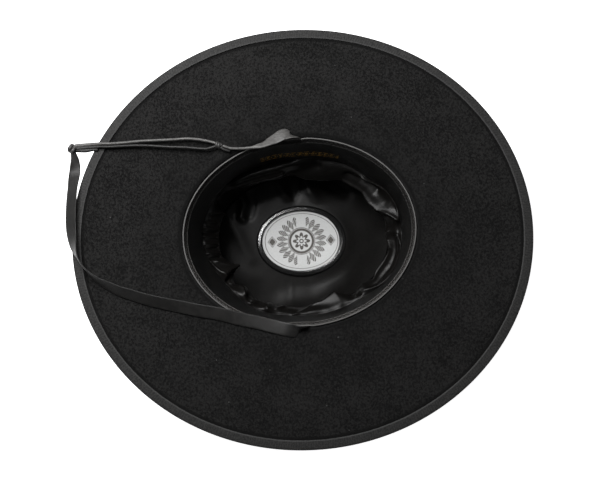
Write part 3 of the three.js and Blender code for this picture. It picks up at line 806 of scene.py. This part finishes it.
def binding_section(turn):
    """The ribbon's outer face, from its lower lip round the edge to its upper lip."""
    outer = brim_width(turn)
    pucker = 0.16 * wander(turn, 60, 9) + 0.1 * wander(turn, 24, 3)
    low = -FELT_THICK - BINDING_RISE
    half = (BINDING_RISE - low) / 2
    lip = outer - BINDING_WIDTH + pucker
    middle = (BINDING_RISE + low) / 2
    points = [(offset, low) for offset in steps_between(lip, outer - half, 5)]
    points += arc((outer - half, middle), half, -90, 90, 10)[1:-1]
    points += [(offset, BINDING_RISE) for offset in steps_between(outer - half, lip, 8)]
    points[-1] = (lip, BINDING_RISE - 0.25)
    return [
        (offset, brim_top(turn, min(offset, outer)) + rise + 0.3 * pucker) for offset, rise in points
    ]


def band_offset(turn, share):
    """Offset of the sweatband's middle at a share of its height."""
    roll = -SEAT - ROLL_RADIUS - slot_room(turn)
    edge = -at_turn(BAND_EDGE, turn) - 0.5 * wander(turn, 5, 2)
    ledge = TAPE_LEAN * ease(min(share / TAPE_SHARE, 1))
    return roll - ledge + (edge - roll + TAPE_LEAN) * share ** 1.5


def sweatband_section(turn):
    """The band's rolled top, its inner face, its hem and its outer face."""
    roll = (-SEAT - ROLL_RADIUS - slot_room(turn), CROWN_HEIGHT - ROLL_RADIUS - SEAT / 2)
    under_roll = roll[1] - ROLL_RADIUS
    dent = 0.45 * wander(turn, 9, 6)

    def face(share, side):
        wave = dent * math.sin(math.pi * share)
        return band_offset(turn, share) + wave + side * BAND_THICK / 2, under_roll - share * BAND_HEIGHT

    around = arc(roll, ROLL_RADIUS, -55, 235, ROLL_PIECES)
    inner = [face(share, -1) for share in BAND_SHARES]
    outer = [face(share, 1) for share in reversed(BAND_SHARES)]
    hem = (band_offset(turn, 1), under_roll - BAND_HEIGHT)
    return around + inner + [hem] + outer + around[:1]


def lining_columns():
    """Sections of the lining's side with its folds, from behind the sweatband to the tip."""
    turns = steps_between(0, math.tau, FINE)[:-1]
    base = []
    spots = []
    for turn in turns:
        band = at_turn(BAND_EDGE, turn)
        bag = at_turn(BAG_EDGE, turn)
        rim = [(-4.2, LINING_TOP), (-5, 65), (-band * 0.85, 60), (-band * 0.95 - 0.5, LINING_HEM)]
        peak = max(1 - ((math.degrees(turn) - PEAK_TURN) / PEAK_HALF) ** 2, 0)
        drop = LINING_DROP - PEAK_RISE * peak
        top = [
            (-band - (bag - band) * share, LINING_HEM - drop * share ** (2.2 - 1.1 * peak))
            for share in (0.25, 0.5, 0.75, 0.92, 1)
        ]
        under = [(-bag + 1.2, 45), (-(bag * 0.62 + 6.5), 33), (-17.5, 17), (-TIP_INSET, TIP_LEVEL + 1)]
        column = smooth_line(rim + top + under, 5)
        base.append(column)
        for offset, height in column:
            share = (-offset - band) / max(bag - band, 3)
            if height > 59:
                share = min(share, 0) - (height - 59) / 8
            if height < 48:
                share = 1 + (48 - height) / 12
            spots.append((math.degrees(turn), share))
    spots = np.array(spots)
    size = np.array([math.radians(1) * LINING_RADIUS, FOLD_REACH])
    rise = fold_heights(LINING_FOLDS, spots, size, 360)
    rows = len(base[0])
    columns = {}
    for place, turn in enumerate(turns):
        column = []
        for row, (offset, height) in enumerate(base[place]):
            share = spots[place * rows + row][1]
            lift = rise[place * rows + row]
            lift += 0.3 * wander(turn, 12, share * 1.3) + 0.07 * wander(turn, 40, share * 2)
            lift *= clamp((share + 0.6) / 0.5) * clamp((2.4 - share) / 0.8)
            slope = math.radians(clamp(20 + 60 * share, 20, 110))
            column.append((offset - lift * math.sin(slope), height + lift * math.cos(slope)))
        columns[round(turn, 6)] = column
    return columns


def tip_section_maker():
    """Section of the tip with its soft folds, level under the label's cover."""
    offsets = steps_between(-TIP_INSET, -OPENING_WIDTH / 2, 44)
    clear_length = LABEL_LENGTH / 2 + LABEL_CLEAR
    clear_width = LABEL_WIDTH / 2 + LABEL_CLEAR

    def section(turn):
        points = [hat_point(turn, offset, 0) for offset in offsets]
        spots = np.array([(point.x, point.y) for point in points])
        rise = fold_heights(TIP_FOLDS, spots)
        column = []
        for offset, point, height in zip(offsets, points, rise):
            far = math.hypot(point.x / clear_length, point.y / clear_width)
            calm = clamp((far - 1) / 0.3)
            ripple = 0.3 * noise.noise(Vector((point.x / 20, point.y / 20, 5)))
            gap = (far - 1) * LABEL_WIDTH / 2 + LABEL_CLEAR
            away = math.atan2(point.y, point.x) - math.radians(TIP_SWELL_TURN)
            swell = clamp(gap / 5) * math.exp(-max(gap - 6, 0) / 13)
            swell *= TIP_SWELL * max(math.cos(away), 0)
            fold = max(calm * (max(height, -2.2) * 0.9 + ripple), TIP_LOWEST - TIP_LEVEL)
            column.append((offset, TIP_LEVEL + swell + fold))
        return column

    return section


def cover_section(turn):
    """The clear cover from its foot over its raised rim to the middle."""
    foot = [(COVER_MARGIN, TIP_LEVEL + 0.4), (COVER_MARGIN, COVER_TOP), (COVER_MARGIN - 0.12, 5.3)]
    rim = [
        (offset, COVER_RIM - below) for offset, below in (
            (COVER_MARGIN - 0.35, 0.75), (3.4, 0.49), (2, 0.24), (1.4, 0.13),
            (1.1, 0.08), (0.8, 0.13), (0.2, 0.24), (0, 0.5),
        )
    ]
    return foot + rim + [(-0.2, 5.1), (-0.5, COVER_TOP), (-LABEL_WIDTH / 2, COVER_TOP)]


def label_section(turn):
    """The label from its cut edge to the middle."""
    level = LABEL_LEVEL
    return [(0, level - 0.1), (-0.1, level), (-0.6, level), (-LABEL_WIDTH / 2, level)]


def strap_stations(rows, hidden, standing):
    """Centre, outward way, width, thickness and roll of each of a strap's rows."""
    stations = []
    for row in hidden:
        turn = math.radians(row[0])
        height = CROWN_HEIGHT - BAND_HEIGHT * row[1]
        wall = -CROWN_TAPER * max(CROWN_HEIGHT - BREAK_RADIUS - height, 0)
        wall /= CROWN_HEIGHT - BREAK_RADIUS - CROWN_CORNER
        centre = hat_point(turn, wall - HIDDEN_GAP - STRAP_THICK / 2, height)
        side = oval_normal(OPENING_LENGTH, OPENING_WIDTH, turn)
        stations.append([*centre, *side, STRAP_WIDTH, STRAP_THICK, standing])
    for row in rows:
        turn = math.radians(row[0])
        under, wide, thick, roll = row[2:]
        width = STRAP_WIDTH * wide
        thick = STRAP_THICK * thick
        lean = math.radians(roll)
        lift = under * STRAP_THICK + (abs(math.sin(lean)) * width + math.cos(lean) * thick) / 2
        offset = row[1] * brim_width(turn)
        centre = hat_point(turn, offset, brim_top(turn, offset) + lift)
        side = oval_normal(OPENING_LENGTH, OPENING_WIDTH, turn)
        stations.append([*centre, *side, width, thick, roll])
    return stations


def add_swept(bm, stations, ring=20):
    """Sweeps a rounded section through the stations, with shares along and across as its map."""
    line = smooth_line(stations, 5)
    steps = len(line) - 1
    uv = bm.loops.layers.uv.verify()
    made = bmesh.ops.create_grid(bm, x_segments=steps, y_segments=ring, size=0.5)["verts"]
    faces = {face for vert in made for face in vert.link_faces}
    for face in faces:
        for loop in face.loops:
            spot = (loop.vert.co.y + 0.5) * math.tau
            loop[uv].uv = loop.vert.co.x + 0.5, abs(math.cos(spot))
    centres = [Vector(row[:3]) for row in line]
    places = []
    for step, row in enumerate(line):
        along = (centres[min(step + 1, steps)] - centres[max(step - 1, 0)]).normalized()
        side = Vector(row[3:6])
        side = (side - along * side.dot(along)).normalized()
        up = along.cross(side)
        lean = math.radians(row[8])
        across = side * math.cos(lean) + up * math.sin(lean)
        upward = along.cross(across)
        square = 0.42 if row[6] > 1.6 * row[7] else 0.85
        ring_points = []
        for spot in steps_between(0, math.tau, ring):
            wide = math.copysign(abs(math.cos(spot)) ** square, math.cos(spot)) * row[6] / 2
            tall = math.copysign(abs(math.sin(spot)) ** square, math.sin(spot)) * row[7] / 2
            ring_points.append((centres[step] + across * wide + upward * tall) * MM)
        places.append(ring_points)
    for vert in made:
        step = round((vert.co.x + 0.5) * steps)
        spot = round((vert.co.y + 0.5) * ring)
        vert.co = places[step][spot]
    bmesh.ops.remove_doubles(bm, verts=made, dist=MERGE)
    rims = [edge for edge in bm.edges if edge.is_boundary]
    bmesh.ops.holes_fill(bm, edges=rims, sides=0)
    bmesh.ops.recalc_face_normals(bm, faces=bm.faces)


def strap_piece(node, runs, material):
    """A piece of strap leather, swept along one or more runs."""
    bm = bmesh.new()
    for stations in runs:
        add_swept(bm, stations)
    return finish_piece(node + "_leather", bm, material, [node])


def knot(name, material):
    """A thong wound round the strands in a helix."""
    centre, run, radius, length, turns, thong = KNOTS[name]
    axis = Vector(run).normalized()
    side = Vector((0, 0, 1)).cross(axis).normalized()
    up = axis.cross(side)
    bm = bmesh.new()
    start = Vector(centre) + side * radius - axis * length / 2
    steps = round(KNOT_STEPS * turns)
    bmesh.ops.create_circle(bm, cap_ends=False, segments=KNOT_SIDES, radius=thong * MM)
    flat = Matrix.Diagonal((0.8, 1.0, 1.0, 1.0))
    stand = Matrix.Translation(start * MM) @ Matrix((side, axis, up)).transposed().to_4x4()
    bmesh.ops.transform(bm, matrix=stand @ flat, verts=bm.verts)
    bmesh.ops.spin(
        bm, geom=bm.edges[:], cent=Vector(centre) * MM, axis=axis, dvec=axis * (length / steps * MM),
        angle=math.tau * turns, steps=steps, use_merge=False,
    )
    bmesh.ops.holes_fill(bm, edges=[e for e in bm.edges if e.is_boundary], sides=0)
    bmesh.ops.recalc_face_normals(bm, faces=bm.faces)
    return finish_piece(name + "_wraps", bm, material, [name])


def thread_section(turn, share, rise):
    """A thread round the sweatband at a share down its face, standing out by its rise."""
    offset = band_offset(turn, share) - BAND_THICK / 2 - rise
    height = CROWN_HEIGHT - 2 * ROLL_RADIUS - SEAT / 2 - share * BAND_HEIGHT
    return arc((offset, height), THREAD_RADIUS, 0, 360, 5)


def tape_threads():
    """Two rows of stitches on the tape under the sweatband's roll, and a zigzag between them."""
    def stitches(share):
        return lambda turn: thread_section(turn, share, 0.3 * math.sin(turn * STITCHES))

    def zigzag(turn):
        return thread_section(turn, THREAD_MIDDLE + 0.022 * math.sin(turn * ZIGZAGS), 0.15)

    return [stitches(share) for share in THREAD_ROWS] + [zigzag]


def build_hat():
    """Every piece of the hat, from the felt inward and then the chin strap."""
    felt = felt_material()
    body = finish_piece("felt_hat", round_mesh(felt_section, FINE), felt, ["felt_body"])
    thicken(body, FELT_THICK)
    ribbon = round_mesh(binding_section, FINE * 2)
    binding = finish_piece("edge_ribbon", ribbon, ribbon_material(), ["brim_binding"])
    thicken(binding, BINDING_THICK)
    band = round_mesh(sweatband_section, FINE)
    leather = sweatband_material()
    finish_piece("leather_sweatband", band, leather, ["sweatband"])
    thread = thread_material()
    for number, row in enumerate(tape_threads()):
        mesh = round_mesh(row, THREAD_STEPS)
        finish_piece(f"tape_thread_{number}", mesh, thread)

    satin = satin_material()
    columns = lining_columns()
    side = round_mesh(lambda turn: columns[round(turn, 6)], FINE)
    side = finish_piece("satin_side", side, satin, ["lining_side"])
    thicken(side, LINING_THICK)
    tip = round_mesh(tip_section_maker(), COARSE)
    tip = finish_piece("satin_tip", tip, satin, ["lining_tip"])
    thicken(tip, LINING_THICK)

    label = round_mesh(label_section, COARSE, label_point)
    label = finish_piece("oval_label", label, label_material(), ["tip_label"])
    thicken(label, LABEL_THICK)
    cover = round_mesh(cover_section, COARSE, label_point)
    cover = finish_piece("label_cover", cover, cover_material(), ["tip_protector"])
    thicken(cover, COVER_THICK)

    # The same strap leather in three copies: the plain one, a paler copy for the upper strap painted as
    # lit, and a paler copy still for the knot wraps standing in for their highlights
    strap = strap_material("strap_leather", 0.3, 0.0125, False)
    painted_lit_leather = strap_material("strap_painted_lit", 0.5, 0.018, True)
    cord = strap_material("strap_wraps", 0.6, 0.032, False)
    lower = strap_stations(LOWER_STRAP, LOWER_HIDDEN, -90)
    upper = strap_stations(UPPER_STRAP, UPPER_HIDDEN, 90)
    strap_piece("lower_chin_strap", [lower, strap_stations(LOWER_STRAND, [], 0)], strap)
    strap_piece("upper_chin_strap", [upper], painted_lit_leather)
    strap_piece("outer_knot_end", [strap_stations(OUTER_END, [], 0)], strap)
    strap_piece("inner_knot_end", [strap_stations(INNER_END, [], 0)], strap)
    for name in KNOTS:
        knot(name, cord)


def add_camera():
    """A view from almost straight above, leaned and turned a little."""
    tilt, side, roll = (math.radians(a) for a in (CAMERA_TILT, CAMERA_SIDE, CAMERA_ROLL))
    back = Vector((math.sin(side), -math.cos(tilt), math.sin(tilt))).normalized()
    level = (-back).cross(Vector((0, 1, 0))).normalized()
    up = level.cross(-back)
    right = level * math.cos(roll) - up * math.sin(roll)
    above = level * math.sin(roll) + up * math.cos(roll)
    lens = bpy.data.cameras.new("camera")
    lens.lens = FOCAL
    lens.sensor_width = SENSOR
    camera = bpy.data.objects.new("camera", lens)
    stand = Matrix.Translation(Vector(CAMERA_PLACE) * MM)
    camera.matrix_world = stand @ Matrix((right, above, back)).transposed().to_4x4()
    bpy.context.scene.collection.objects.link(camera)
    bpy.context.scene.camera = camera


def add_light(name, place, target, size, power):
    """A round, soft light aimed at a place."""
    data = bpy.data.lights.new(name, "AREA")
    data.shape = "DISK"
    data.size = size
    data.energy = power
    lamp = bpy.data.objects.new(name, data)
    lamp.location = place
    lamp.rotation_euler = (Vector(target) - Vector(place)).to_track_quat("-Z", "Y").to_euler()
    bpy.context.scene.collection.objects.link(lamp)


def add_studio():
    """The pale floor, the backdrop and the lights."""
    bm = bmesh.new()
    bmesh.ops.create_circle(bm, cap_ends=True, segments=64, radius=FLOOR_RADIUS)
    mesh = bpy.data.meshes.new("floor")
    bm.to_mesh(mesh)
    bm.free()
    floor = bpy.data.objects.new("floor", mesh)
    mesh.materials.append(floor_material())
    bpy.context.scene.collection.objects.link(floor)
    world = bpy.data.worlds.new("studio")
    world.use_nodes = True
    backdrop = world.node_tree.nodes["Background"].inputs
    backdrop["Color"].default_value = (1, 1, 1, 1)
    backdrop["Strength"].default_value = BACKDROP_STRENGTH
    bpy.context.scene.world = world
    for light in LIGHTS:
        add_light(*light)
    bpy.context.scene.view_settings.view_transform = "Standard"


add_camera()
add_studio()
build_hat()
